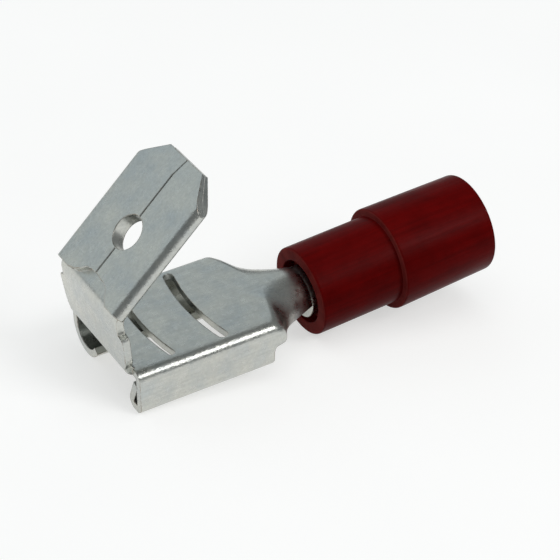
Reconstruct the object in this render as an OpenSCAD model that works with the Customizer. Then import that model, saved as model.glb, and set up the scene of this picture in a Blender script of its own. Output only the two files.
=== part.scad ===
// Insulated push-on terminal with a piggyback tab, 6.35 mm series. Millimetres.
// One folded brass stamping carries the socket, the leaning male tab, the neck and the crimp
// barrel; a stepped soft sleeve is pressed over the barrel.
// It is drawn with the plate level and the socket's mouth at x = 0, then laid down at the end
// on the points it rests on: the front corners of the two rolls and the sleeve's front rim.

/* [Sheet] */
// Thickness of the tinned brass sheet
sheet_t = 0.4; // [0.36:0.01:0.42]

/* [Socket] */
// Width over the two side walls
box_w = 7.32; // [7.2:0.02:7.6]
// Length of the side walls
box_len = 7.66; // [7.2:0.02:7.8]
// Depth from the plate's top face to the underside of the rolls
box_h = 2.52; // [2.4:0.02:2.8]
// Width of the tight roll
roll_w = 1.19; // [1.1:0.01:1.3]
// How far the inner leg of the tight roll leans back towards its wall, degrees
roll_lean = 15; // [8:1:16]
// Free gap between the plate and the tight roll's edge; a tab springs it open
grip_gap = 0.62; // [0.5:0.02:0.75]
// Outside radius of the bend between plate and side wall
side_bend_r = 0.5; // [0.45:0.01:0.6]
// Outside radius of the two bends that close the tight roll
roll_bend_r = 0.45; // [0.43:0.01:0.5]
// Outside radius of the open roll on the other side
open_roll_r = 1.42; // [1.2:0.02:1.5]
// How far the open roll turns, degrees
open_roll_turn = 165; // [150:1:175]

/* [Relief slots] */
// Position of the front slot behind the mouth
slot_front_x = 1.92; // [1.8:0.02:2.2]
// Position of the rear slot behind the mouth
slot_rear_x = 4.82; // [4.4:0.02:5.4]
// Width of the front slot
slot_front_w = 0.38; // [0.3:0.02:0.6]
// Width of the rear slot
slot_rear_w = 0.56; // [0.4:0.02:0.7]
// Half length of a slot, straight across
slot_half = 2.8; // [2.5:0.05:2.9]
// Radius the slots are bowed to
slot_bow_r = 13; // [11:0.5:20]

/* [Piggyback tab] */
// Width of the male tab
tab_w = 6.35; // [6.2:0.01:6.4]
// Length of the male tab
tab_len = 7.85; // [7.6:0.05:8.1]
// Lean of the tab, measured up from the plate, degrees
tab_lean = 43.5; // [42:0.5:50]
// Height of the tab's upper face at its base, above the plate
tab_base_z = 3.59; // [3.5:0.01:3.8]
// How far the tab's upper face at its base overhangs the mouth
tab_base_x = 0.91; // [0.85:0.01:1]
// Corner cut of the tip, across the width
tip_cut_w = 1.6; // [1.2:0.05:1.7]
// Corner cut of the tip, along the length
tip_cut_l = 1.57; // [1.2:0.01:1.7]
// Length of the lead-in bevels at the tip
lead_in = 1.0; // [0.6:0.1:1.4]
// Depth of the lead-in bevels
lead_in_t = 0.2; // [0.1:0.01:0.24]
// Diameter of the detent hole
hole_d = 1.88; // [1.7:0.02:2]
// Distance of the hole from the tab's base
hole_l = 3.32; // [3:0.02:3.6]
// How far the seam and the hole sit off the tab's middle
seam_off = 0.12; // [0:0.02:0.2]
// Width of the seam between the two flaps
seam_w = 0.06; // [0.05:0.01:0.1]

/* [Front strip] */
// Half width of the strip at its shoulders
strip_hw = 3.4; // [3.2:0.05:3.5]
// Half width of the strip at its foot and at its fold
strip_neck_hw = 2.95; // [2.8:0.05:3.05]
// Lean of the strip away from the socket, degrees
strip_lean = 6.5; // [3:0.5:9]
// How far the strip's front face stands before the mouth, at the plate's level
strip_x = 0.42; // [0.38:0.01:0.5]
// Outside radius of the bend between plate and strip
foot_r = 0.65; // [0.55:0.05:0.8]
// Outside radius of the bend between strip and tab
fold_r = 0.75; // [0.6:0.05:0.9]

/* [Neck and barrel] */
// Outside diameter of the crimp barrel
barrel_d = 2.8; // [2.7:0.02:2.9]
// Length of the crimp barrel
barrel_len = 5.2; // [4.6:0.1:5.6]
// Width of the butt seam under the barrel
butt_gap = 0.08; // [0.06:0.01:0.12]
// Rise of the barrel's axis towards the wire end, degrees
barrel_rise = 3.4; // [2.5:0.1:4]
// Depth of the barrel's axis below the plate's top face, at the sleeve's front face
barrel_drop = 1.57; // [1.5:0.01:1.65]

/* [Sleeve] */
// Position of the sleeve's front face behind the mouth
sleeve_x = 11.4; // [11.3:0.05:11.8]
// Diameter of the narrow front length
sleeve_small_d = 4.9; // [4.6:0.05:5]
// Diameter of the wide rear length at the step
sleeve_big_d = 5.7; // [5.4:0.05:5.9]
// Diameter of the wide rear length at its end
sleeve_end_d = 5.5; // [5.2:0.05:5.7]
// Length of the narrow front
sleeve_small_l = 4.9; // [4.6:0.05:5.2]
// Length of the wide rear
sleeve_big_l = 5.8; // [5.2:0.05:6.2]
// Diameter of the recess around the neck in the front face
recess_d = 3.5; // [3.2:0.05:3.7]
// Depth of that recess
recess_l = 0.7; // [0.5:0.05:1]
// Diameter of the wire entry
entry_d = 4.1; // [3.8:0.05:4.3]
// Length of the wire entry
entry_l = 4.4; // [4:0.1:4.6]
// Radius on the sleeve's outer edges
sleeve_edge_r = 0.12; // [0.08:0.01:0.2]

/* [Hidden] */
$fn = 64;
box_hw = box_w / 2;
barrel_r = barrel_d / 2;
barrel_out = 0.1;
tab_t = 2 * sheet_t;
sleeve_r = sleeve_small_d / 2;
sleeve_l = sleeve_small_l + sleeve_big_l;
plate_l = 7.6;
ear_drop = 1.3;
ear_fillet = 0.3;

// Front strip: its face crosses the underside of the plate at the foot, and the web's top face
// at the fold.
foot_x = -strip_x + sheet_t * tan(strip_lean);
web_x = -tab_base_x + sheet_t * sin(tab_lean);
web_z = tab_base_z - sheet_t * cos(tab_lean);
fold_s = (-strip_x - web_x - web_z * tan(strip_lean))
       / (cos(tab_lean) + sin(tab_lean) * tan(strip_lean));
fold_x = web_x + fold_s * cos(tab_lean);
fold_z = web_z + fold_s * sin(tab_lean);
foot_turn = 90 - strip_lean;
fold_turn = 90 + strip_lean - tab_lean;
foot_tangent = foot_r * tan(foot_turn / 2);
fold_tangent = fold_r * tan(fold_turn / 2);
strip_l = norm([fold_x - foot_x, fold_z + sheet_t]) - foot_tangent - fold_tangent;

// Rolls: length of the leg that comes back up towards the plate.
leg_l = (box_h - roll_bend_r - roll_bend_r * sin(roll_lean) - sheet_t - grip_gap) / cos(roll_lean);

// The neck's sheet is drawn a little thinner; its ends are let into the plate and the barrel.
neck_t = sheet_t - 0.12;
neck_r = barrel_r - 0.08;
neck_in = 0.2 - barrel_out;
neck_end_x = sleeve_x + neck_in * cos(barrel_rise) - neck_r * sin(barrel_rise);
neck_end_z = -barrel_drop + neck_in * sin(barrel_rise) + neck_r * cos(barrel_rise);
neck_hw = box_hw - 0.04;
neck_bend_r = side_bend_r - 0.04;
neck_dip_x = 8.2;

// Sections of the neck from the plate to the barrel: place behind the mouth, half width over the
// flanks, half width of the flat top, depth of the rounded shoulders, and depth in all.
NECK = [
    [plate_l - 0.15, neck_hw, box_hw - side_bend_r, neck_bend_r, ear_drop],
    [plate_l + 0.1, neck_hw, 3.12, neck_bend_r, ear_drop],
    [7.95, neck_hw, 2.75, 0.55, ear_drop],
    [8.3, 3.6, 1.8, 0.8, 1.25],
    [8.5, 3.45, 1.2, 1.08, 1.18],
    [8.76, 2.97, 0.6, 1.16, 1.25],
    [9.2, 2.45, 0.25, 1.3, 1.36],
    [9.9, 2, 0.05, 1.4, 1.43],
    [10.6, 1.62, 0.02, 1.38, 1.4],
    [neck_end_x, neck_r, 0.01, neck_r, neck_r + 0.01],
];

// At rest the line from the rolls' front corners to the sleeve's lower front rim is level.
rim_x = sleeve_x + sleeve_edge_r * cos(barrel_rise) + sleeve_r * sin(barrel_rise);
rim_z = -barrel_drop + sleeve_edge_r * sin(barrel_rise) - sleeve_r * cos(barrel_rise);
rest_tilt = atan2(-box_h - rim_z, rim_x);
rest_lift = box_h * cos(rest_tilt);
rest_front = -tab_base_x * cos(rest_tilt) - tab_base_z * sin(rest_tilt);
rest_rear = sleeve_x * cos(rest_tilt) + barrel_drop * sin(rest_tilt)
          + sleeve_l * cos(rest_tilt + barrel_rise)
          + (sleeve_end_d / 2 - sleeve_edge_r) * sin(rest_tilt + barrel_rise);

// One bend of the sheet in section, from angle a to angle b.
module bend(r, a, b) {
    m = (a + b) / 2;
    intersection() {
        difference() {
            circle(r);
            circle(r - sheet_t);
        }
        polygon([[0, 0], 3 * r * [cos(a), sin(a)], 3 * r * [cos(m), sin(m)], 3 * r * [cos(b), sin(b)]]);
    }
}

// The sheet in section, as it is folded. Each step is [straight run, turn to the right, outside
// radius of the turn]; the outer face is on the left.
module folded(steps, i = 0) {
    run = steps[i][0];
    turn = steps[i][1];
    r = steps[i][2];
    translate([0, -sheet_t]) square([run, sheet_t]);
    if (turn > 0) {
        translate([run, -r]) {
            bend(r, 90 - turn, 90);
            if (i + 1 < len(steps)) rotate(-turn) translate([0, r]) folded(steps, i + 1);
        }
    }
}

// Square less a quarter round, for rounding a corner or filling one.
module corner(r) {
    difference() {
        square(r);
        translate([r, r]) circle(r);
    }
}

// Lay a section drawn as [across, up] along the length.
module along(l) {
    rotate([90, 0, 90]) linear_extrude(height = l) children();
}

// Lay a side view drawn as [along, up] across the width.
module across(w) {
    rotate([90, 0, 0]) linear_extrude(height = w, center = true) children();
}

// Side view of a wall: square mouth, round lower rear corner, and a fillet under the neck's ear.
module wall_side() {
    difference() {
        union() {
            translate([0, -box_h - 1]) square([box_len, box_h + 1 - ear_drop + 0.1]);
            translate([0, -ear_drop]) square([plate_l, ear_drop + 1]);
            translate([box_len, -ear_drop + 0.1]) mirror([0, 1]) square([ear_fillet, 0.12]);
            translate([box_len, -ear_drop - 0.02]) mirror([0, 1]) corner(ear_fillet);
        }
        translate([box_len, -box_h]) mirror([1, 0]) corner(roll_bend_r);
    }
}

// One side of the socket, seen from the mouth: level run, bend, wall, and the roll under it.
module rolled_side(roll) {
    level = box_hw - side_bend_r - 2;
    intersection() {
        along(box_len + ear_fillet) translate([2, 0]) folded(concat([[level, 90, side_bend_r]], roll));
        across(3 * box_w) wall_side();
    }
}

// A bowed relief slot through the plate, with rounded ends.
module slot(x, w) {
    a = asin(slot_half / slot_bow_r);
    r = slot_bow_r;
    translate([x + r, 0, -1]) linear_extrude(height = 2) {
        intersection() {
            difference() {
                circle(r + w / 2, $fn = 256);
                circle(r - w / 2, $fn = 256);
            }
            polygon([[0, 0], 2 * r * [-cos(a), sin(a)], 2 * r * [-cos(a), -sin(a)]]);
        }
        for (s = [-1, 1]) rotate(s * a) translate([-r, 0]) circle(w / 2, $fn = 32);
    }
}

// The socket: level plate, a tight roll on one side and an open one on the other.
module socket() {
    tight = [[box_h - side_bend_r - roll_bend_r, 90, roll_bend_r],
             [roll_w - 2 * roll_bend_r, 90 + roll_lean, roll_bend_r],
             [leg_l, 0, 0]];
    open = [[box_h - side_bend_r - open_roll_r, open_roll_turn, open_roll_r]];
    difference() {
        union() {
            translate([0, 1 - box_hw, -sheet_t]) cube([plate_l, box_w - 2, sheet_t]);
            mirror([0, 1, 0]) rolled_side(tight);
            rolled_side(open);
        }
        slot(slot_front_x, slot_front_w);
        slot(slot_rear_x, slot_rear_w);
    }
}

// Front view of the strip: narrow foot, shoulders, and the relief cuts beside the fold.
module strip_front() {
    for (s = [0, 1]) mirror([s, 0])
        polygon([[0, -1], [strip_neck_hw, -1], [strip_neck_hw, 0.2], [strip_hw - 0.12, 0.8],
                 [strip_hw, 1.15], [strip_hw, 2.1], [strip_hw - 0.08, 2.25],
                 [strip_neck_hw, 2.3], [strip_neck_hw, 5], [0, 5]]);
}

// The strip that rises from the plate's front edge and folds back into the tab's web. A small
// round fills the corner between its foot and each wall's front edge.
module strip() {
    intersection() {
        translate([1, 0, -sheet_t]) rotate([90, 0, 180])
            linear_extrude(height = box_w, center = true) mirror([0, 1])
            folded([[1 - foot_x - foot_tangent, foot_turn, foot_r],
                    [strip_l, fold_turn, fold_r],
                    [1.2, 0, 0]]);
        union() {
            translate([-2, 0, 0]) along(4) strip_front();
            for (s = [0, 1]) mirror([0, s, 0]) translate([0, strip_neck_hw, -1])
                mirror([1, 0, 0]) linear_extrude(height = 1.5) corner(0.3);
        }
    }
}

// Plan of the tab: straight sides and two corner cuts.
module tab_plan() {
    hw = tab_w / 2;
    polygon([[0, -hw], [tab_len - tip_cut_l, -hw], [tab_len, tip_cut_w - hw],
             [tab_len, hw - tip_cut_w], [tab_len - tip_cut_l, hw], [0, hw]]);
}

// The male tab, two sheets thick: the web with a flap folded over from each side, the flaps
// meeting along a seam. Drawn flat, its upper face at z = 0 and its base at x = 0.
module tab() {
    hw = tab_w / 2;
    difference() {
        intersection() {
            along(tab_len) translate([0, -sheet_t]) {
                square([tab_w - tab_t, tab_t], center = true);
                for (s = [-1, 1]) translate([s * (hw - sheet_t), 0]) circle(sheet_t);
            }
            translate([0, 0, -2]) linear_extrude(height = 4) tab_plan();
            across(2 * tab_w)
                polygon([[0, -tab_t], [tab_len - lead_in, -tab_t], [tab_len, lead_in_t - tab_t],
                         [tab_len, -lead_in_t], [tab_len - lead_in, 0], [0, 0]]);
        }
        // seam, detent hole, and the arch where the flaps stop short of the fold
        translate([-1, -seam_off - seam_w / 2, -sheet_t]) cube([tab_len + 2, seam_w, 1]);
        translate([hole_l, -seam_off, -1]) cylinder(d = hole_d, h = 2);
        translate([0, 0, -sheet_t]) linear_extrude(height = 1)
            polygon([[-1, -1.7], [0, -1.7], [0.72, -0.85], [0.72, 0.85], [0, 1.7], [-1, 1.7]]);
    }
}

// Value k of the neck's section at a place t along the table, on a smooth curve through its rows.
function neck_value(t, k) =
    let (n = len(NECK) - 1, i = min(floor(t), n - 1), f = t - i,
         a = NECK[max(i - 1, 0)][k], b = NECK[i][k], c = NECK[i + 1][k], d = NECK[min(i + 2, n)][k])
    b + f * ((c - a) / 2 + f * (a - 2.5 * b + 2 * c - d / 2 + f * (1.5 * b - a / 2 - 1.5 * c + d / 2)));

// One section of the neck, across and up: a flank, a quarter ellipse, the flat top, and the same
// again. k is 0 for the outer face and the sheet's thickness for the inner.
function neck_section(t, k, n) =
    let (hw = min(neck_value(t, 1), neck_hw), flat = neck_value(t, 2),
         r = neck_value(t, 3), h = neck_value(t, 4))
    [for (s = [1, -1]) for (i = [-1 : n])
        let (j = s > 0 ? i : n - 1 - i, a = 90 * max(j, 0) / n)
        [s * (flat + (hw - flat - k) * cos(a)), j < 0 ? -h : (r - k) * sin(a) - r]];

// Where a section stands: from the dip on it sinks and tips until it meets the barrel squarely.
function neck_place(p, t) =
    let (x = neck_value(t, 0), u = max(0, (x - neck_dip_x) / (neck_end_x - neck_dip_x)),
         a = barrel_rise * u)
    [x - p[1] * sin(a), p[0], -0.02 + (neck_end_z + 0.02) * u * u + p[1] * cos(a)];

// The neck: between the plate and the barrel the sheet goes from a level plate with two turned
// down edges to a half round.
module neck(n = 8, per_row = 2) {
    half = 2 * (n + 2);
    ring = 2 * half;
    m = per_row * (len(NECK) - 1);
    last = m * ring;
    points = [
        for (j = [0 : m])
            let (t = j / per_row, outer = neck_section(t, 0, n), inner = neck_section(t, neck_t, n))
            for (i = [0 : ring - 1]) neck_place(i < half ? outer[i] : inner[ring - 1 - i], t)
    ];
    sides = [
        for (j = [0 : m - 1]) for (i = [0 : ring - 1])
            let (a = j * ring + i, b = j * ring + (i + 1) % ring)
            each [[a, b + ring, b], [a, a + ring, b + ring]]
    ];
    caps = [
        for (i = [0 : half - 2])
            let (a = i, b = i + 1, c = ring - 2 - i, d = ring - 1 - i)
            each [[a, b, c], [a, c, d], [last + a, last + d, last + c], [last + a, last + c, last + b]]
    ];
    polyhedron(points, concat(sides, caps), convexity = 6);
}

// Stand children on the barrel's axis, their origin at the sleeve's front face.
module on_axis() {
    translate([sleeve_x, 0, -barrel_drop]) rotate([0, 90 - barrel_rise, 0]) children();
}

// The crimp barrel: sheet rolled round, its two edges meeting along the underside.
module barrel() {
    on_axis() translate([0, 0, -barrel_out]) difference() {
        cylinder(r = barrel_r, h = barrel_len);
        translate([0, 0, -1]) cylinder(r = barrel_r - sheet_t, h = barrel_len + 2);
        translate([0, -butt_gap / 2, -1]) cube([2 * barrel_r, butt_gap, barrel_len + 2]);
    }
}

// The stepped sleeve in half section: recess, barrel seat, funnel and wire entry cut out.
module sleeve_half() {
    e = sleeve_edge_r;
    end_r = sleeve_end_d / 2;
    big_r = sleeve_big_d / 2;
    entry_r = entry_d / 2;
    difference() {
        polygon([[0, 0], [sleeve_r - e, 0], [sleeve_r, e],
                 [sleeve_r, sleeve_small_l], [big_r - e, sleeve_small_l],
                 [big_r, sleeve_small_l + e], [end_r, sleeve_l - e],
                 [end_r - e, sleeve_l], [0, sleeve_l]]);
        translate([-1, -1]) square([recess_d / 2 + 1, recess_l + 1]);
        translate([-1, -1]) square([barrel_r + 1, sleeve_l + 2]);
        polygon([[0, sleeve_l - entry_l - entry_r], [entry_r, sleeve_l - entry_l],
                 [entry_r, sleeve_l + 1], [0, sleeve_l + 1]]);
    }
}

// Tip the level drawing back to how it rests, its middle over the origin.
module laid_down() {
    translate([-(rest_front + rest_rear) / 2, 0, rest_lift]) rotate([0, -rest_tilt, 0]) children();
}

module terminal() {
    color([0.74, 0.76, 0.76]) laid_down() {
        socket();
        strip();
        translate([-tab_base_x, 0, tab_base_z]) rotate([0, -tab_lean, 0]) tab();
        neck();
        barrel();
    }
}

module sleeve() {
    color([0.42, 0.02, 0.02]) laid_down() on_axis() rotate_extrude($fn = 128) sleeve_half();
}

terminal();
sleeve();
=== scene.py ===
import math

import bmesh
import bpy
from mathutils import Matrix, Vector


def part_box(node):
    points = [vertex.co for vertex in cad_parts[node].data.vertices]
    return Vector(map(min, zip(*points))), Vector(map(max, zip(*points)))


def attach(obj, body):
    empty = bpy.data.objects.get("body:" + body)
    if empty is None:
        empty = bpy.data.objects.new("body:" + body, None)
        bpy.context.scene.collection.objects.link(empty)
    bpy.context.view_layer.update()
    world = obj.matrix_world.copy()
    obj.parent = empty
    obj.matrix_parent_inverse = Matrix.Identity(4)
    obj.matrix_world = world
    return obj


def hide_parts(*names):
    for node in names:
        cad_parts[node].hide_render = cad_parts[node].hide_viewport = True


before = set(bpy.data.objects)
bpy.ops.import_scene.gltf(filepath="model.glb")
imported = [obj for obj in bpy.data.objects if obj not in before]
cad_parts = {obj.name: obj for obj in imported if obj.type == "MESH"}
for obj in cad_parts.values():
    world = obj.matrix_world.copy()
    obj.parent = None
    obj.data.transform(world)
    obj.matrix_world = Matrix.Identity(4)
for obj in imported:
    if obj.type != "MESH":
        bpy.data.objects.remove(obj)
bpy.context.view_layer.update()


# ---------------------------------------------------------------------------------------------
# How the terminal lies
# It rests on the front corners of its two rolls and on the lower front rim of the sleeve, so the
# socket's plate tips up towards the wire end. Every piece is made in millimetres with the plate
# level and the socket's mouth at x = 0, and is then laid down.
# ---------------------------------------------------------------------------------------------
rest_tilt = math.radians(7.272)
box_h = 2.52
tab_base = Vector((-0.91, 0, 3.59))
# the tab's base is the foremost point of the terminal, and the rolls stand on the table
frame_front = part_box("terminal")[0].x * 1000
mouth_x = frame_front - tab_base.x * math.cos(rest_tilt) + tab_base.z * math.sin(rest_tilt)
mouth_height = box_h * math.cos(rest_tilt)
laid_down = (
    Matrix.Scale(0.001, 4)
    @ Matrix.Translation((mouth_x, 0, mouth_height))
    @ Matrix.Rotation(-rest_tilt, 4, "Y")
)


# ---------------------------------------------------------------------------------------------
# Stamped sheet: socket, neck, front strip and the tab's web
# One blank of tinned brass 0.4 mm thick. Its sides are turned down and rolled in to make the
# socket, its rear is drawn to a half round neck, and its front edge is bent up and folded back.
# ---------------------------------------------------------------------------------------------
sheet_t = 0.4
box_hw, box_len = 3.66, 7.66
side_bend_r, roll_bend_r = 0.5, 0.45
flat_hw = box_hw - side_bend_r
roll_w, roll_lean, roll_leg = 1.19, 23, 1.2
open_roll_r, open_roll_turn = 1.42, 150
strip_foot_hw, strip_foot_x = 2.95, 0.206
strip_lean, tab_lean = 6.5, 43.5
tab_hw, tab_len, tab_t = 3.175, 7.85, 0.8
tip_cut_w, tip_cut_l = 1.6, 1.57
lead_in, lead_in_t = 1.0, 0.2
barrel_r, barrel_drop, barrel_rise, sleeve_x = 1.4, 1.57, math.radians(3.4), 11.4
barrel_out = 0.1


def folded_path(start, heading, steps):
    """Points along the face of a folded sheet; each step is run, turn to the right, face radius."""
    p, h = Vector(start), heading
    points = [p.copy()]
    for run, turn, r in steps:
        if run:
            p = p + run * Vector((math.cos(math.radians(h)), math.sin(math.radians(h))))
            points.append(p.copy())
        n = max(1, round(abs(turn) / 11))
        for _ in range(n if turn else 0):
            a = math.radians(h - turn / n / 2)
            p = p + 2 * r * math.sin(math.radians(abs(turn) / n / 2)) * Vector((math.cos(a), math.sin(a)))
            h -= turn / n
            points.append(p.copy())
    return points


neck_end_x = sleeve_x - barrel_out * math.cos(barrel_rise) - barrel_r * math.sin(barrel_rise)
neck_end_z = -barrel_drop - barrel_out * math.sin(barrel_rise) + barrel_r * math.cos(barrel_rise)
# place behind the mouth, half width over the flanks, half width of the flat, shoulder depth, depth
neck_rows = [
    (7.60, box_hw, flat_hw, side_bend_r, 1.62),
    (7.66, box_hw, 3.15, side_bend_r, 1.62),
    (7.71, box_hw, 3.13, side_bend_r, 1.47),
    (7.79, box_hw, 3.05, 0.51, 1.36),
    (7.95, box_hw, 2.77, 0.55, 1.30),
    (8.30, 3.61, 1.82, 0.80, 1.25),
    (8.50, 3.46, 1.22, 1.08, 1.18),
    (8.76, 2.99, 0.62, 1.16, 1.25),
    (9.20, 2.48, 0.25, 1.30, 1.36),
    (9.90, 2.04, 0.05, 1.42, 1.45),
    (10.6, 1.68, 0.02, 1.43, 1.45),
    (neck_end_x, barrel_r, 0.01, barrel_r, barrel_r + 0.01),
]


def between_rows(rows, t):
    """A row of the table at a place between its rows, on a smooth curve through them."""
    i = min(int(t), len(rows) - 2)
    f = t - i
    a, b, c, d = rows[max(i - 1, 0)], rows[i], rows[i + 1], rows[min(i + 2, len(rows) - 1)]
    return [
        b_
        + f * (c_ - a_) / 2
        + f**2 * (a_ - 2.5 * b_ + 2 * c_ - d_ / 2)
        + f**3 * (1.5 * b_ - a_ / 2 - 1.5 * c_ + d_ / 2)
        for a_, b_, c_, d_ in zip(a, b, c, d)
    ]


flat_parts = (0, 0.27, 0.54, 0.78, strip_foot_hw / flat_hw, 1)
tight_leg = [Vector((box_hw, z)) for z in (-0.75, -1.0, -1.25, -1.45, -1.62)]
tight_roll = folded_path(
    (box_hw, -1.62), -90,
    [(box_h - 1.62 - roll_bend_r, 90, roll_bend_r),
     (roll_w - 2 * roll_bend_r, 90 + roll_lean, roll_bend_r),
     (roll_leg * 0.5, 0, 0), (roll_leg * 0.5, 0, 0)],
)[1:]
open_arc = folded_path((box_hw, open_roll_r - box_h), -90, [(0, open_roll_turn, open_roll_r)])
open_leg = [Vector((box_hw, -0.8)), open_arc[0]] + open_arc[1:3]
open_leg.insert(1, (open_leg[0] + open_leg[1]) / 2)
open_roll = open_arc[3:]


def half_section(hw, flat, r, h, leg):
    """From the middle of the top out over one shoulder and down: (across, up)."""
    points = [Vector((flat * k, 0)) for k in flat_parts]
    for i in range(1, 9):
        a = math.radians(90 * i / 8)
        points.append(Vector((flat + (hw - flat) * math.sin(a), r * math.cos(a) - r)))
    if leg:
        return points + leg
    return points + [Vector((hw, -r - (h - r) * k / 5)) for k in range(1, 6)]


sheet = bmesh.new()
socket_x = [0, strip_foot_x] + [0.6 + 0.44 * k for k in range(16)] + [7.45]
columns = []
for x in socket_x:
    near = half_section(box_hw, flat_hw, side_bend_r, 0, tight_leg)
    far = half_section(box_hw, flat_hw, side_bend_r, 0, open_leg)
    section = (
        [(-p.x, p.y) for p in reversed(tight_roll)] + [(-p.x, p.y) for p in reversed(near[1:])]
        + [tuple(p) for p in far] + [tuple(p) for p in open_roll]
    )
    columns.append((x, section))
upper_first = len(tight_roll)
upper_last = len(columns[0][1]) - len(open_roll) - 1


def wall_rear(z):
    """Where a wall ends behind the mouth: square, with a round lower corner."""
    dip = -box_h + roll_bend_r - z
    return box_len if dip <= 0 else box_len - roll_bend_r + math.sqrt(max(0, roll_bend_r**2 - dip**2))


grid = []
for x, section in columns + [(box_len, columns[0][1])]:
    grid.append([
        sheet.verts.new((x * wall_rear(z) / box_len if i < upper_first or i > upper_last else x, y, z))
        for i, (y, z) in enumerate(section)
    ])
neck_grid = []
steps = 2
for j in range(steps * (len(neck_rows) - 1) + 1):
    x, hw, flat, r, h = between_rows(neck_rows, j / steps)
    hw = min(hw, box_hw)
    side = half_section(hw, flat, r, h, None)
    section = [(-p.x, p.y) for p in reversed(side[1:])] + [tuple(p) for p in side]
    u = max(0, (x - 8.2) / (neck_end_x - 8.2))
    tip = barrel_rise * u
    neck_grid.append([
        sheet.verts.new((x - z * math.sin(tip), y, neck_end_z * u * u + z * math.cos(tip)))
        for y, z in section
    ])


def skin(a, b, keep=lambda i: True):
    """Faces between two rows of vertices, facing up and out."""
    for i in range(len(a) - 1):
        if keep(i):
            sheet.faces.new((a[i], b[i], b[i + 1], a[i + 1]))


middle = (len(columns[0][1]) - len(open_roll) + len(tight_roll) - 1) // 2
foot_cols = range(middle - 4, middle + 5)
skin(grid[0], grid[1], lambda i: not (foot_cols[0] <= i < foot_cols[-1]))
for a, b in zip(grid[1:-2], grid[2:-1]):
    skin(a, b)
# the walls run on to their rear edge, the upper part runs on into the neck
skin(grid[-2], grid[-1], lambda i: i < upper_first or i >= upper_last)
upper = [row[upper_first:upper_last + 1] for row in grid]
skin(upper[-2], neck_grid[0])
for a, b in zip(neck_grid[:-1], neck_grid[1:]):
    skin(a, b)

# front strip and web: the plate's top face goes on up the back of the strip and under the tab
# height, then half width: a narrow foot, wide shoulders, and a relief cut beside the fold
strip_hw_at = [
    (-1, 2.95), (0.2, 2.95), (0.45, 3.12), (0.8, 3.22), (1.15, 3.27),
    (2.05, 3.36), (2.2, 3.3), (2.32, 2.95), (9, 2.95),
]
foot_r, fold_r = 0.25, 0.35
lean_dir = Vector((-math.sin(math.radians(strip_lean)), math.cos(math.radians(strip_lean))))
web_dir = Vector((math.cos(math.radians(tab_lean)), math.sin(math.radians(tab_lean))))
web_n = Vector((-web_dir.y, web_dir.x))
foot = folded_path((strip_foot_x, 0), 180, [(0, 90 - strip_lean, foot_r)])
web_base = Vector((tab_base.x, tab_base.z)) - tab_t * web_n
fold_turn = 90 + strip_lean - tab_lean
# the strip's back face and the web's lower face meet at a corner, which the fold rounds
d = foot[-1] - web_base
cross = web_dir.x * lean_dir.y - web_dir.y * lean_dir.x
corner_s = (web_dir.x * -d.y + web_dir.y * d.x) / cross
back = fold_r * math.tan(math.radians(fold_turn / 2))
strip_run = corner_s - back
path = list(foot)
heights = [0.3, 0.45, 0.6, 0.8, 1.0, 1.15, 1.5, 1.8, 2.05, 2.14, 2.2, 2.27, 2.32, 2.5]
runs = [(z - foot[-1].y) / lean_dir.y for z in heights]
path += [foot[-1] + run * lean_dir for run in runs if run < strip_run]
path += folded_path(foot[-1] + strip_run * lean_dir, 90 + strip_lean, [(0, fold_turn, fold_r)])
fold_end = len(path)
cut_start = tab_len - tip_cut_l + sheet_t * tip_cut_l / tip_cut_w
web_rows = [0.3, 0.8] + [1.2 + 0.5 * k for k in range(11)]
for l in web_rows + [cut_start, tab_len - lead_in, tab_len - 0.5, tab_len]:
    rise = max(0, (l - tab_len + lead_in) / lead_in) * lead_in_t
    path.append(web_base + l * web_dir + rise * web_n)


def half_width(i, p):
    """Half width of the strip, or of the web under the tab, at a point of the path."""
    if i < fold_end:
        for (z0, w0), (z1, w1) in zip(strip_hw_at[:-1], strip_hw_at[1:]):
            if z0 <= p.y <= z1:
                return w0 + (w1 - w0) * (p.y - z0) / (z1 - z0)
    l = (p - web_base).dot(web_dir)
    cut = tab_hw - max(0, l - tab_len + tip_cut_l) * tip_cut_w / tip_cut_l
    return min(tab_hw - sheet_t, cut)


rows = [[grid[1][i] for i in foot_cols]]
parts = [s * k for s, ks in ((-1, (1, 0.78, 0.54, 0.27)), (1, (0, 0.27, 0.54, 0.78, 1))) for k in ks]
for i, p in enumerate(path[1:], 1):
    w = half_width(i, p)
    rows.append([sheet.verts.new((p.x, w * k, p.y)) for k in parts])
for a, b in zip(rows[:-1], rows[1:]):
    for i in range(len(a) - 1):
        sheet.faces.new((a[i], a[i + 1], b[i + 1], b[i]))


def loose(name, bm):
    """A mesh in millimetres, not yet laid down."""
    mesh = bpy.data.meshes.new(name)
    bm.to_mesh(mesh)
    bm.free()
    obj = bpy.data.objects.new(name, mesh)
    bpy.context.scene.collection.objects.link(obj)
    return obj


def cut(obj, tools):
    """Cut shapes out of a piece and clear them away."""
    for tool in tools:
        m = obj.modifiers.new("cut", "BOOLEAN")
        m.operation, m.object, m.solver = "DIFFERENCE", tool, "EXACT"
    baked(obj)
    for tool in tools:
        bpy.data.objects.remove(tool)


def baked(obj):
    """Turn a piece's modifiers into its mesh."""
    bpy.context.view_layer.update()
    mesh = bpy.data.meshes.new_from_object(obj.evaluated_get(bpy.context.evaluated_depsgraph_get()))
    obj.modifiers.clear()
    obj.data = mesh


def prism(name, outline, low, high, place=None):
    """A closed outline drawn flat, raised from low to high, then set in place."""
    bm = bmesh.new()
    base = [bm.verts.new((x, y, low)) for x, y in outline]
    face = bm.faces.new(base)
    top = bmesh.ops.extrude_face_region(bm, geom=[face])
    raised = [v for v in top["geom"] if isinstance(v, bmesh.types.BMVert)]
    bmesh.ops.translate(bm, vec=(0, 0, high - low), verts=raised)
    if place:
        bmesh.ops.transform(bm, matrix=place, verts=bm.verts)
    bmesh.ops.recalc_face_normals(bm, faces=bm.faces)
    return loose(name, bm)


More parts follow.
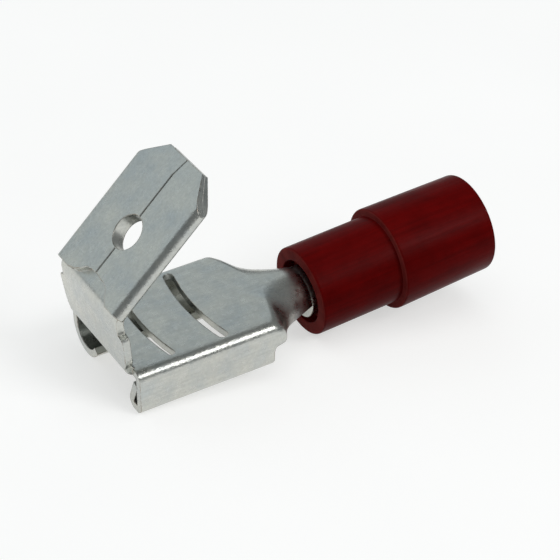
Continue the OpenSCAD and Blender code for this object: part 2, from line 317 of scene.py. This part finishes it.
def slot_outline(x, w):
    """A relief slot bowed towards the mouth, with round ends."""
    r, half = 13, 2.8
    mid, a = x + r, math.asin(half / r)

    def arc(rr, ks):
        return [(mid - rr * math.cos(a * k / 12), rr * math.sin(a * k / 12)) for k in ks]

    def end(s, first):
        return [
            (mid - r * math.cos(a) + w / 2 * math.cos(first - math.radians(15 * k)),
             s * r * math.sin(a) + w / 2 * math.sin(first - math.radians(15 * k)))
            for k in range(1, 12)
        ]

    front = arc(r + w / 2, range(-12, 13))
    rear = arc(r - w / 2, range(12, -13, -1))
    return front + end(1, math.pi - a) + rear + end(-1, a)


stamping = loose("stamping", sheet)
thick = stamping.modifiers.new("sheet", "SOLIDIFY")
thick.thickness, thick.offset, thick.use_even_offset = sheet_t, -1, True
baked(stamping)
front_slot, rear_slot = (1.92, 0.38), (4.82, 0.56)  # place behind the mouth, width
cut(stamping, [prism("slot", slot_outline(*slot), -1, 1) for slot in (front_slot, rear_slot)])
in_tab = Matrix.Translation(tab_base) @ Matrix.Rotation(-math.radians(tab_lean), 4, "Y")
seam_off = 0.12
hole_l, hole_r = 3.32, 0.94


def hole_tool():
    turns = [math.radians(5 * k) for k in range(72)]
    ring = [(hole_l + hole_r * math.cos(t), -seam_off + hole_r * math.sin(t)) for t in turns]
    return prism("hole", ring, -2, 2, in_tab)


cut(stamping, [hole_tool()])


# ---------------------------------------------------------------------------------------------
# The tab's two flaps
# The blank carries a flap on each side of the web; both are folded flat over it and meet along
# a seam, which brings the tab to two sheets, 0.8 mm. Tip and hole are then cut through both.
# ---------------------------------------------------------------------------------------------
def flap(s):
    inner = seam_off * -1 + s * 0.02
    outline = [(inner, -sheet_t), (inner, -0.03), (inner + s * 0.03, 0)]
    centre = tab_hw - sheet_t
    for a in (math.radians(9 * k) for k in range(21)):
        outline.append((s * (centre + sheet_t * math.sin(a)), sheet_t * math.cos(a) - sheet_t))
    outline += [(s * centre, -sheet_t)]
    # the section is drawn across the tab, so x and y stand for y and up here
    along = in_tab @ Matrix(((0, 0, 1, 0), (1, 0, 0, 0), (0, 1, 0, 0), (0, 0, 0, 1)))
    return prism("flap", outline, 0, tab_len, along)


# where each flap stops short of the fold: place along the tab, then across
far_foot = [
    (-1, 1.9), (0.04, 1.8), (0.18, 1.3), (0.45, 0.92),
    (0.7, 0.66), (0.78, 0.3), (0.84, -0.4), (-1, -0.4),
]
near_foot = [
    (-1, 0.2), (0.88, 0.2), (0.82, -0.3), (0.76, -0.75), (0.75, -1.1),
    (0.6, -1.42), (0.3, -1.7), (0.04, -2.05), (-1, -2.3),
]
flaps = []
for s in (-1, 1):
    piece = flap(s)
    corner = [
        (tab_len - tip_cut_l, s * tab_hw),
        (tab_len, s * (tab_hw - tip_cut_w)),
        (tab_len + 0.5, s * (tab_hw - tip_cut_w - 0.51)),
        (tab_len + 2, s * (tab_hw - tip_cut_w)),
        (tab_len + 2, s * (tab_hw + 1)),
        (tab_len - tip_cut_l - 1, s * (tab_hw + 1.02)),
    ]
    arch = far_foot if s > 0 else near_foot
    upside = in_tab @ Matrix(((1, 0, 0, 0), (0, 0, 1, 0), (0, 1, 0, 0), (0, 0, 0, 1)))
    start, past = tab_len - lead_in, tab_len + 1
    bevel = [(start, 0), (past, -lead_in_t * 2), (past, 1), (start, 1)]
    under = [(start, -tab_t), (past, lead_in_t * 2 - tab_t), (past, -2), (start, -2)]
    cut(piece, [
        prism("corner", corner, -2, 2, in_tab),
        prism("arch", arch, -sheet_t - 0.2, 2, in_tab),
        prism("bevel", bevel, -4, 4, upside),
        prism("bevel", under, -4, 4, upside),
        hole_tool(),
    ])
    flaps.append(piece)


# ---------------------------------------------------------------------------------------------
# Crimp barrel
# Behind the neck the same sheet is rolled right round into a tube, its two edges butting along
# the underside. Most of it is inside the sleeve; its front rim shows in the sleeve's recess.
# ---------------------------------------------------------------------------------------------
on_axis = (
    Matrix.Translation((sleeve_x, 0, -barrel_drop))
    @ Matrix.Rotation(math.pi / 2 - barrel_rise, 4, "Y")
)
tube = bmesh.new()
barrel_end = 5.1
tube_wall = [
    (barrel_r, -barrel_out), (barrel_r, barrel_end),
    (barrel_r - sheet_t, barrel_end), (barrel_r - sheet_t, -barrel_out),
]
gap = math.degrees(0.04 / barrel_r)
ring = []
for k in range(49):
    a = math.radians(gap + (360 - 2 * gap) * k / 48)
    ring.append([
        tube.verts.new(on_axis @ Vector((r * math.cos(a), r * math.sin(a), z)))
        for r, z in tube_wall
    ])
for a, b in zip(ring[:-1], ring[1:]):
    for i in range(4):
        tube.faces.new((a[i], a[(i + 1) % 4], b[(i + 1) % 4], b[i]))
tube.faces.new(ring[0])
tube.faces.new(ring[-1][::-1])
bmesh.ops.recalc_face_normals(tube, faces=tube.faces)
barrel = loose("barrel", tube)

# one piece of metal; each point keeps its place on the level part, for the finish
metal = bmesh.new()
for part in [stamping, barrel] + flaps:
    metal.from_mesh(part.data)
    bpy.data.objects.remove(part)
bmesh.ops.remove_doubles(metal, verts=metal.verts, dist=0.0005)
bmesh.ops.dissolve_degenerate(metal, edges=metal.edges, dist=0.0005)
level = metal.verts.layers.float_vector.new("level")
worked = metal.verts.layers.float.new("worked")
in_tab_inverse = in_tab.inverted()


def eased(low, high, v):
    t = min(1, max(0, (v - low) / (high - low)))
    return t * t * (3 - 2 * t)


for v in metal.verts:
    v[level] = v.co
    on_tab = in_tab_inverse @ v.co
    across_x = abs(v.co.y)
    side_bend = eased(flat_hw - 0.35, flat_hw + 0.1, across_x)
    side_bend *= (1 - eased(0.45, 0.75, -v.co.z)) * (1 - eased(8.2, 9, v.co.x))
    tab_fold = eased(tab_hw - 0.75, tab_hw - 0.35, across_x) if on_tab.x > -0.05 and v.co.z > 2 else 0
    v[worked] = max(side_bend if v.co.z < 0.2 else 0, tab_fold)
bmesh.ops.transform(metal, matrix=laid_down, verts=metal.verts)
terminal = loose("tinned_terminal", metal)
terminal.data.shade_smooth()
terminal.data.set_sharp_from_angle(angle=math.radians(32))


class Wiring:
    """A short way to place and join shader nodes."""

    def __init__(self, name):
        self.mat = bpy.data.materials.new(name)
        self.mat.use_nodes = True
        self.nodes, self.links = self.mat.node_tree.nodes, self.mat.node_tree.links
        self.shader = self.nodes["Principled BSDF"]

    def add(self, kind, inputs=None, **settings):
        node = self.nodes.new("ShaderNode" + kind)
        for key, value in settings.items():
            setattr(node, key, value)
        for key, value in (inputs or {}).items():
            self.join(value, node.inputs[key])
        return node

    def join(self, value, socket):
        if isinstance(value, bpy.types.NodeSocket):
            self.links.new(value, socket)
        else:
            socket.default_value = value

    def noise(self, place, scale, detail=3, rough=0.5):
        inputs = {"Vector": place, "Scale": scale, "Detail": detail, "Roughness": rough}
        return self.add("TexNoise", inputs).outputs["Fac"]

    def stretched(self, place, by):
        return self.add("Mapping", {"Vector": place, "Scale": by}).outputs["Vector"]

    def ramp(self, value, *stops):
        node = self.add("ValToRGB", {"Fac": value})
        ramp = node.color_ramp
        while len(ramp.elements) < len(stops):
            ramp.elements.new(0.5)
        for element, (at, colour) in zip(ramp.elements, stops):
            element.position = at
            element.color = (*colour, 1) if isinstance(colour, tuple) else (colour, colour, colour, 1)
        return node.outputs["Color"]

    def blend(self, how, factor, a, b):
        node = self.add("Mix", data_type="RGBA", blend_type=how)
        self.join(factor, node.inputs[0])
        self.join(a, node.inputs[6])
        self.join(b, node.inputs[7])
        return node.outputs[2]

    def sum(self, how, a, b):
        return self.add("Math", {0: a, 1: b}, operation=how).outputs[0]


def tin_finish():
    """Bright tin over brass: mottled, faintly drawn along the strip, open-grained at the bends."""
    w = Wiring("tin plating")
    place = w.add("Attribute", attribute_name="level").outputs["Vector"]
    bends = w.add("Attribute", attribute_name="worked").outputs["Fac"]
    soft = w.add("Bevel", {"Radius": 0.00009}, samples=8).outputs["Normal"]
    true = w.add("NewGeometry").outputs["Normal"]
    # plating: cloudy patches, cool to warm, with fine spangle and faint rolling marks
    cool, plain, warm = (0.54, 0.57, 0.56), (0.61, 0.62, 0.58), (0.67, 0.67, 0.61)
    cloud = w.ramp(w.noise(place, 0.55, 4, 0.6), (0.32, cool), (0.52, plain), (0.7, warm))
    spangle = w.ramp(w.noise(place, 7, 3, 0.7), (0.3, 0.86), (0.7, 1.0))
    marks = w.ramp(w.noise(w.stretched(place, (0.3, 5, 5)), 1.5, 3), (0.35, 0.93), (0.6, 1.0))
    tin = w.blend("MULTIPLY", 1.0, w.blend("MULTIPLY", 1.0, cloud, spangle), marks)
    # bare brass shows in patches where a sheared edge is worn; the dark tone of these patches is painted
    # shade along the edges
    turn = w.add("VectorMath", {0: soft, 1: true}, operation="DOT_PRODUCT").outputs["Value"]
    edge = w.ramp(turn, (0.86, 1.0), (0.985, 0.0))
    rubbed_and_shaded_edge = w.sum("MULTIPLY", edge, w.ramp(w.noise(place, 1.6, 4, 0.7), (0.44, 0.1), (0.6, 0.85)))
    # dark brass mixed in at the edge patches: real bare brass, darkened as painted shade
    colour = w.blend("MIX", rubbed_and_shaded_edge, tin, (0.20, 0.13, 0.075, 1))
    w.join(colour, w.shader.inputs["Base Color"])
    w.shader.inputs["Metallic"].default_value = 1
    w.join(w.ramp(w.noise(place, 2.5, 4, 0.6), (0.3, 0.24), (0.7, 0.36)), w.shader.inputs["Roughness"])
    # grain: barely there on the flats, like orange peel where the sheet was bent
    grain = w.add("Bump", {"Height": w.noise(place, 6.5, 3, 0.6), "Distance": 0.00002, "Normal": soft})
    w.join(w.ramp(bends, (0.0, 0.12), (1.0, 0.95)), grain.inputs["Strength"])
    w.join(grain.outputs["Normal"], w.shader.inputs["Normal"])
    return w.mat


terminal.data.materials.append(tin_finish())
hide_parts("terminal")
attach(terminal, "root")


# ---------------------------------------------------------------------------------------------
# Sleeve
# Soft dark red insulation moulded in two diameters and pressed over the barrel: the narrow front
# grips the barrel, the wide rear takes the wire's own insulation. A recess clears the neck.
# ---------------------------------------------------------------------------------------------
def rounded(points, n=4):
    """A profile with the corners that carry a radius rounded off."""
    out = []
    for i, (z, r, e) in enumerate(points):
        if not e:
            out.append((z, r))
            continue
        p = Vector((z, r))
        a = (Vector(points[i - 1][:2]) - p).normalized() * e
        b = (Vector(points[i + 1][:2]) - p).normalized() * e
        for k in range(n + 1):
            t = k / n
            out.append(tuple(p + a * (1 - t) ** 2 + b * t**2))
    return out


front_r, rear_r, end_r = 2.45, 2.85, 2.75
step_at, sleeve_l = 4.9, 10.7
recess_r, recess_l = 1.75, 0.7
entry_r, entry_l = 2.05, 4.4
rim = 0.12
funnel_end = sleeve_l - entry_l
funnel_start = funnel_end - (entry_r - barrel_r)
# distance from the front face, radius, rounding of the corner
profile = rounded([
    (recess_l, barrel_r, 0), (recess_l, recess_r, 0.04), (0, recess_r, 0.08), (0, front_r, 0.14),
    (step_at, front_r, 0.05), (step_at, rear_r, rim), (sleeve_l, end_r, rim),
    (sleeve_l, entry_r, rim), (funnel_end, entry_r, 0.1), (funnel_start, barrel_r, 0),
])
turned = bmesh.new()
wrapped = turned.verts.layers.float_vector.new("wrapped")
sides = 128
rings = []
for k in range(sides):
    a = 2 * math.pi * k / sides
    ring = []
    for z, r in profile:
        # soft plastic shrinks a little unevenly as it cools
        out = r * (1 + 0.0012 * math.sin(3 * a + 0.6 * z) - 0.0012)
        v = turned.verts.new(on_axis @ Vector((out * math.cos(a), out * math.sin(a), z)))
        v[wrapped] = (math.cos(a) * 2.5, math.sin(a) * 2.5, z)
        ring.append(v)
    rings.append(ring)
for k in range(sides):
    a, b = rings[k], rings[(k + 1) % sides]
    for i in range(len(profile)):
        j = (i + 1) % len(profile)
        turned.faces.new((a[i], a[j], b[j], b[i]))
bmesh.ops.recalc_face_normals(turned, faces=turned.faces)
bmesh.ops.transform(turned, matrix=laid_down, verts=turned.verts)
sleeve = loose("red_sleeve", turned)
sleeve.data.shade_smooth()
sleeve.data.set_sharp_from_angle(angle=math.radians(35))
sleeve_axis = (laid_down @ on_axis).to_quaternion() @ Vector((0, 0, 1))


def red_pvc():
    """Deep red PVC: satin, drawn lengthwise by the mould; its end faces are duller, with a painted
    reflection that makes them paler.
    """
    w = Wiring("red soft PVC")
    place = w.add("Attribute", attribute_name="wrapped").outputs["Vector"]
    dark, light = (0.085, 0.0008, 0.0008), (0.125, 0.0014, 0.0014)
    cloud = w.ramp(w.noise(place, 0.7, 4, 0.6), (0.3, dark), (0.7, light))
    drawn = w.ramp(w.noise(w.stretched(place, (4, 4, 0.16)), 1.2, 4, 0.65), (0.3, 0.72), (0.62, 1.0))
    body = w.blend("MULTIPLY", 1.0, cloud, drawn)
    # end faces stand square to the axis; they are duller, and their paler colour is a painted reflection
    # laid on in patches
    true = w.add("NewGeometry").outputs["Normal"]
    square = w.add("VectorMath", {0: true, 1: tuple(sleeve_axis)}, operation="DOT_PRODUCT").outputs["Value"]
    face = w.ramp(w.sum("ABSOLUTE", square, 0.0), (0.55, 0.0), (0.9, 1.0))
    painted_end_sheen = w.sum("MULTIPLY", face, w.ramp(w.noise(place, 1.1, 3), (0.35, 0.55), (0.65, 1.0)))
    # painted reflection: a pale pinkish red mixed in on the end faces
    colour = w.blend("MIX", painted_end_sheen, body, (0.22, 0.030, 0.026, 1))
    w.join(colour, w.shader.inputs["Base Color"])
    dull = w.ramp(w.noise(w.stretched(place, (5, 5, 0.3)), 1.5, 3), (0.3, 0.30), (0.7, 0.42))
    w.join(w.blend("MIX", face, dull, (0.6, 0.6, 0.6, 1)), w.shader.inputs["Roughness"])
    w.shader.inputs["Specular IOR Level"].default_value = 0.03
    drag = w.noise(w.stretched(place, (3, 3, 0.5)), 2.2, 4, 0.6)
    skin = w.add("Bump", {"Height": drag, "Distance": 0.00003, "Strength": 0.22})
    w.join(skin.outputs["Normal"], w.shader.inputs["Normal"])
    return w.mat


sleeve.data.materials.append(red_pvc())
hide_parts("sleeve")
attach(sleeve, "root")


# ---------------------------------------------------------------------------------------------
# Floor, light and camera
# A plain white table under soft light. The camera stands before the mouth, to the left of the
# terminal, and looks down on the plate.
# ---------------------------------------------------------------------------------------------
floor = bmesh.new()
bmesh.ops.create_grid(floor, x_segments=1, y_segments=1, size=0.6)
table = loose("table", floor)
w = Wiring("white table")
seen = w.add("LightPath").outputs
pale = w.sum("MAXIMUM", seen["Is Camera Ray"], seen["Is Glossy Ray"])
pale = w.sum("MAXIMUM", pale, seen["Is Transmission Ray"])
paper = w.noise(w.add("TexCoord").outputs["Object"], 40, 3)
w.join(w.ramp(paper, (0.3, 0.50), (0.7, 0.52)), w.shader.inputs["Base Color"])
w.shader.inputs["Roughness"].default_value = 0.95
w.shader.inputs["Specular IOR Level"].default_value = 0.1
w.shader.inputs["Emission Color"].default_value = (1, 1, 0.985, 1)
w.join(w.sum("MULTIPLY", pale, 0.56), w.shader.inputs["Emission Strength"])
table.data.materials.append(w.mat)

world = bpy.data.worlds.new("studio")
bpy.context.scene.world = world
world.use_nodes = True
surroundings = world.node_tree.nodes["Background"]
surroundings.inputs["Color"].default_value = (0.95, 1.0, 1.02, 1)
surroundings.inputs["Strength"].default_value = 0.22


def softbox(name, direction, distance, size, brightness, colour=(1, 1, 1), mirrored=True):
    """A lit panel that faces the terminal; brightness is that of its face."""
    light = bpy.data.lights.new(name, "AREA")
    light.shape, light.size, light.size_y = "RECTANGLE", size[0], size[1]
    light.energy, light.color = brightness * math.pi * size[0] * size[1], colour
    obj = bpy.data.objects.new(name, light)
    bpy.context.scene.collection.objects.link(obj)
    obj.location = Vector(direction).normalized() * distance
    obj.rotation_euler = (-obj.location).to_track_quat("-Z", "Y").to_euler()
    obj.visible_glossy = mirrored


softbox("back", (-0.22, 0.69, 0.45), 0.4, (0.8, 0.38), 0.46, (0.90, 1.0, 1.05))
softbox("key", (0.36, -0.62, 0.69), 0.35, (0.16, 0.13), 5.5)
softbox("fill", (-0.1, -0.2, 1), 0.5, (0.5, 0.5), 1.3, mirrored=False)

camera = bpy.data.cameras.new("camera")
camera.lens, camera.sensor_width = 125.6, 36
camera.clip_start, camera.clip_end = 0.005, 5
eye = bpy.data.objects.new("camera", camera)
bpy.context.scene.collection.objects.link(eye)
azimuth, elevation, distance = math.radians(31.23), math.radians(36.19), 100.78
look = Vector((math.sin(azimuth), math.cos(azimuth), 0)) * math.cos(elevation)
look.z = -math.sin(elevation)
at = Vector((9.859, -0.519, 0.093))
turn = look.to_track_quat("-Z", "Y").to_matrix().to_4x4()
level_eye = Matrix.Translation(at - distance * look) @ turn
world_eye = laid_down @ level_eye
stand = Matrix.Translation(world_eye.to_translation())
eye.matrix_world = stand @ world_eye.to_quaternion().to_matrix().to_4x4()
bpy.context.scene.camera = eye

scene = bpy.context.scene
scene.view_settings.view_transform = "Standard"
